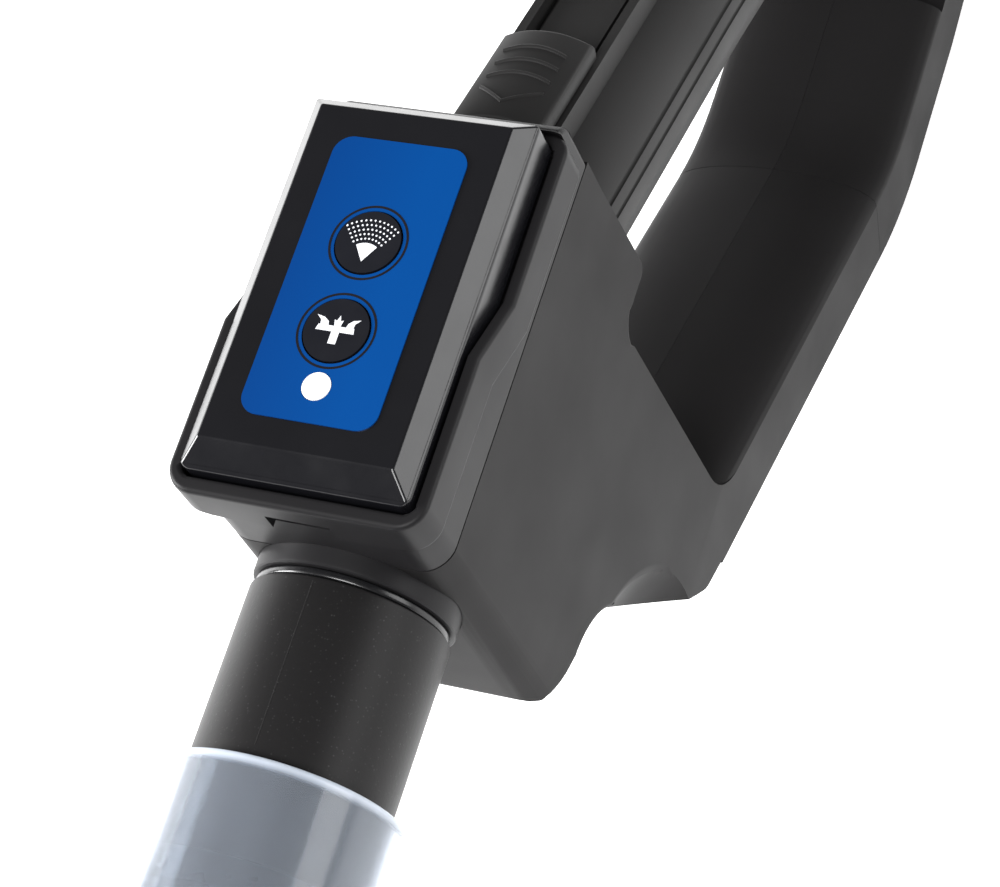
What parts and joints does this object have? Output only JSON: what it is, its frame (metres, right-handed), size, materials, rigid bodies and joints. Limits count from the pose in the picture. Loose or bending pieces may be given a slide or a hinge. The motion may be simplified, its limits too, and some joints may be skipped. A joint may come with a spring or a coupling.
{
  "type": "carpet cleaner hand piece",
  "caption": "Suction hand piece of a carpet cleaner with a D-shaped guard, an air slider and a wireless two-button remote in a cradle.",
  "frame": {"origin": "centre of the open lower end of the sight tube, where the wand goes in", "axes": "+Y up the lower tube towards the hand, +Z on the side that carries the remote, X across"},
  "size_m": [0.05, 0.4942, 0.2093],
  "materials": {
    "housing_plastic": "fine satin texture, charcoal black",
    "pipe_plastic": "fine matte black",
    "speckled_black": "black with pale specks, satin",
    "black_rubber": "smooth, slightly glossy",
    "clear_plastic": "milky translucent",
    "remote_plastic": "polished piano black",
    "blue_film": "printed film, satin",
    "button_black": "printed film, satin",
    "white_lens": "milky white",
    "zinc_steel": "bright zinc plate",
    "natural_nylon": "natural nylon",
    "board_green": "solder mask",
    "switch_black": "moulded",
    "spring_brass": "bright"
  },
  "bodies": {
    "handle": {"sight_tube": "clear_plastic", "spigot_tube": "speckled_black", "spigot_gasket": "black_rubber", "seal_ring": "black_rubber", "neck_collar": "housing_plastic", "suction_elbow": "pipe_plastic", "upper_pipe": "pipe_plastic", "housing_left": "housing_plastic", "housing_right": "housing_plastic", "housing_screws": "zinc_steel", "cradle_cover": "housing_plastic", "swivel_retainer": "natural_nylon", "hose_seal": "black_rubber"},
    "air_slider": {"air_slider": "pipe_plastic", "vent_gasket": "black_rubber", "slider_spring": "zinc_steel"},
    "latch_tab": {"latch_tab": "housing_plastic"},
    "hose_swivel": {"hose_swivel": "pipe_plastic"},
    "remote": {"remote_top": "remote_plastic", "remote_bottom": "remote_plastic", "membrane_label": "blue_film", "led_window": "white_lens", "circuit_board": "board_green", "tact_switches": "switch_black", "status_led": "white_lens", "battery": "zinc_steel", "battery_contacts": "spring_brass", "battery_door": "remote_plastic", "remote_screws": "zinc_steel"},
    "spray_button": {"spray_button": "button_black"},
    "suction_button": {"suction_button": "button_black"}
  },
  "joints": [
    {"name": "air_slide", "type": "slide", "parent": "handle", "child": "air_slider", "axis": [0, 0.9304, -0.3665], "range_m": [0, 0.024]},
    {"name": "latch_flex", "type": "hinge", "parent": "handle", "child": "latch_tab", "pos_m": [0, 0.1567, 0.0239], "axis": [1, 0, 0], "range_deg": [0, 5], "stiffness_Nm_per_rad": 0.05},
    {"name": "hose_swivel", "type": "hinge", "parent": "handle", "child": "hose_swivel", "pos_m": [0, 0.44475, -0.121], "axis": [0, 0.788, -0.6157], "continuous": true},
    {"name": "remote_lift", "type": "slide", "parent": "handle", "child": "remote", "axis": [0, 0, 1], "range_m": [0, 0.016]},
    {"name": "spray_press", "type": "slide", "parent": "remote", "child": "spray_button", "axis": [0, 0, -1], "range_m": [0, 0.0005], "stiffness_N_per_m": 3000},
    {"name": "suction_press", "type": "slide", "parent": "remote", "child": "suction_button", "axis": [0, 0, -1], "range_m": [0, 0.0005], "stiffness_N_per_m": 3000}
  ]
}
